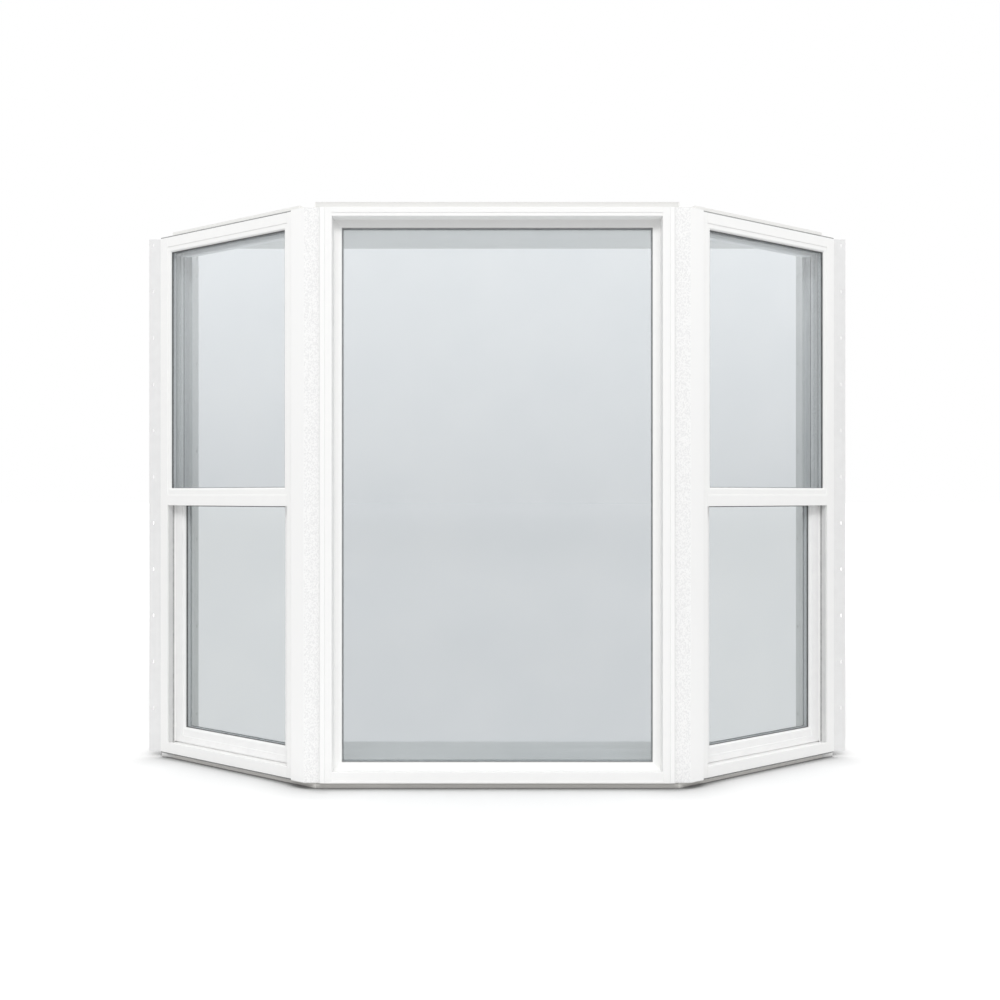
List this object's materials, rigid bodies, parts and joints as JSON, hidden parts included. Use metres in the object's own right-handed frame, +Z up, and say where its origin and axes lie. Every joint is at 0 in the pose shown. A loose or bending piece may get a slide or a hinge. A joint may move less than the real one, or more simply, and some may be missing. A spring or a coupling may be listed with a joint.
{
  "type": "three-sided bay window unit",
  "caption": "Angled bay window unit: a fixed picture window between two single-hung windows, with seat and head boards, corner posts and nail fins.",
  "frame": {"origin": "middle of the seat board's underside, on the plane of the wall sheathing that the nail fins bear on", "axes": "+Z up, +X to the right as seen from outside, outside towards -Y and the room towards +Y"},
  "size_m": [2.0742, 0.4081, 1.5558],
  "materials": {
    "frame": "satin white vinyl",
    "sash": "satin white vinyl",
    "cover": "satin white vinyl",
    "fin": "satin white vinyl",
    "board": "white primed plywood",
    "post": "white wrapped timber",
    "glass": "clear",
    "gasket": "matt dark grey",
    "seal": "matt mid grey",
    "spacer": "satin grey",
    "lock": "satin white"
  },
  "bodies": {
    "root": {"center_frame_head": "frame", "center_frame_left_jamb": "frame", "center_frame_right_jamb": "frame", "center_frame_sill": "frame", "center_glass": "glass", "center_glazing_frame": "frame", "frame_seals": "seal", "glass_gaskets": "gasket", "glass_spacers": "spacer", "head_board": "board", "left_corner_cover": "cover", "left_corner_post": "post", "left_frame_head": "frame", "left_frame_inner_jamb": "frame", "left_frame_outer_jamb": "frame", "left_frame_sill": "frame", "left_lower_glass": "glass", "left_meeting_rail": "frame", "left_nail_fin": "fin", "left_sash_bottom_rail": "sash", "left_sash_inner_stile": "sash", "left_sash_lock": "lock", "left_sash_outer_stile": "sash", "left_sash_top_rail": "sash", "left_side_jamb": "board", "left_upper_glass": "glass", "left_upper_glazing_frame": "frame", "right_corner_cover": "cover", "right_corner_post": "post", "right_frame_head": "frame", "right_frame_inner_jamb": "frame", "right_frame_outer_jamb": "frame", "right_frame_sill": "frame", "right_lower_glass": "glass", "right_meeting_rail": "frame", "right_nail_fin": "fin", "right_sash_bottom_rail": "sash", "right_sash_inner_stile": "sash", "right_sash_lock": "lock", "right_sash_outer_stile": "sash", "right_sash_top_rail": "sash", "right_side_jamb": "board", "right_upper_glass": "glass", "right_upper_glazing_frame": "frame", "seat_board": "board"}
  },
  "joints": []
}
